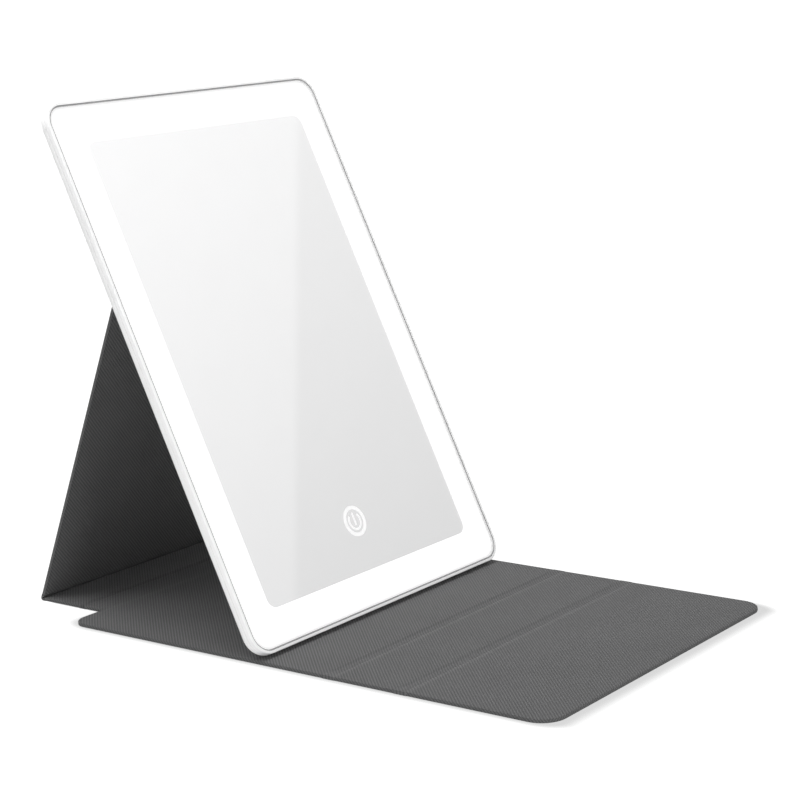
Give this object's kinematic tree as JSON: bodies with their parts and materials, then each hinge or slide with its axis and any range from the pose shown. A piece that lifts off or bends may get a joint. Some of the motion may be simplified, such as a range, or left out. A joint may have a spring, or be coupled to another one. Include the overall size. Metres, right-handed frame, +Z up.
{
  "type": "rechargeable makeup mirror",
  "caption": "Flat rectangular makeup mirror with a lit border and touch switch, leaning in a folding cover whose back flap props it at adjustable angles.",
  "frame": {"origin": "on the table, at the middle of the laid-out cover's length and width", "axes": "+X along the mirror's width to the viewer's right, +Y from the front of the cover to its rear fold, +Z up"},
  "size_m": [0.17, 0.2794, 0.2192],
  "materials": {
    "white_plastic": "satin moulded, fine grain",
    "clear_glass": "polished, border frosted white from behind",
    "silvering": "silvered and lacquered",
    "tape": "black foam tape",
    "edge_seal": "dark grey silicone bead",
    "opal_acrylic": "opal, lit from behind",
    "white_film": "white reflector film",
    "led_strip": "white strip with light packages",
    "circuit_board": "green solder mask",
    "foil": "laminated foil pouch",
    "copper": "copper foil",
    "steel": "plain steel",
    "magnet": "nickel plated",
    "cover_skin": "woven, dark grey, turned edges",
    "cover_lining": "fine twill, dark grey",
    "stiffener": "grey board"
  },
  "bodies": {
    "front": {"front_outer_skin": "cover_skin", "front_board": "stiffener", "front_lining": "cover_lining"},
    "mid": {"mid_outer_skin": "cover_skin", "mid_board": "stiffener", "mid_lining": "cover_lining", "mid_magnets": "magnet"},
    "base": {"base_outer_skin": "cover_skin", "base_board": "stiffener", "base_lining": "cover_lining", "base_magnets": "magnet"},
    "strip": {"strip_outer_skin": "cover_skin", "strip_board": "stiffener", "strip_lining": "cover_lining"},
    "flap": {"flap_outer_skin": "cover_skin", "flap_board": "stiffener", "flap_lining": "cover_lining"},
    "mirror": {"rear_housing": "white_plastic", "front_bezel": "white_plastic", "mirror_glass": "clear_glass", "silver_layer": "silvering", "glass_seal": "edge_seal", "glass_adhesive": "tape", "diffuser_frame": "opal_acrylic", "reflector_sheet": "white_film", "led_strip_top": "led_strip", "led_strip_bottom": "led_strip", "led_strip_left": "led_strip", "led_strip_right": "led_strip", "control_board": "circuit_board", "board_screws": "steel", "touch_electrode": "copper", "touch_contact_foam": "tape", "battery_cell": "foil", "battery_tape": "tape", "usb_c_receptacle": "steel", "catch_rod": "steel", "mount_outer_skin": "cover_skin", "mount_board": "stiffener", "mount_adhesive": "tape"}
  },
  "joints": [
    {"name": "neck_fold", "type": "hinge", "parent": "base", "child": "strip", "pos_m": [0, 0.1141, 0.0005], "axis": [1, 0, 0], "range_deg": [-90, 0]},
    {"name": "rear_fold", "type": "hinge", "parent": "strip", "child": "flap", "pos_m": [0, 0.1392, 0.0005], "axis": [1, 0, 0], "range_deg": [0, 14.8]},
    {"name": "apex_fold", "type": "hinge", "parent": "flap", "child": "mirror", "pos_m": [0, 0.07452, 0.1571], "axis": [1, 0, 0], "range_deg": [-28.4, 0]},
    {"name": "groove_a_fold", "type": "hinge", "parent": "base", "child": "mid", "pos_m": [0, -0.0375, 0.0005], "axis": [1, 0, 0], "range_deg": [0, 90]},
    {"name": "groove_b_fold", "type": "hinge", "parent": "mid", "child": "front", "pos_m": [0, -0.0721, 0.0005], "axis": [1, 0, 0], "range_deg": [0, 90]}
  ],
  "couplings": [
    {"joint": "apex_fold", "follows": "rear_fold", "ratio": -1.9091}
  ]
}
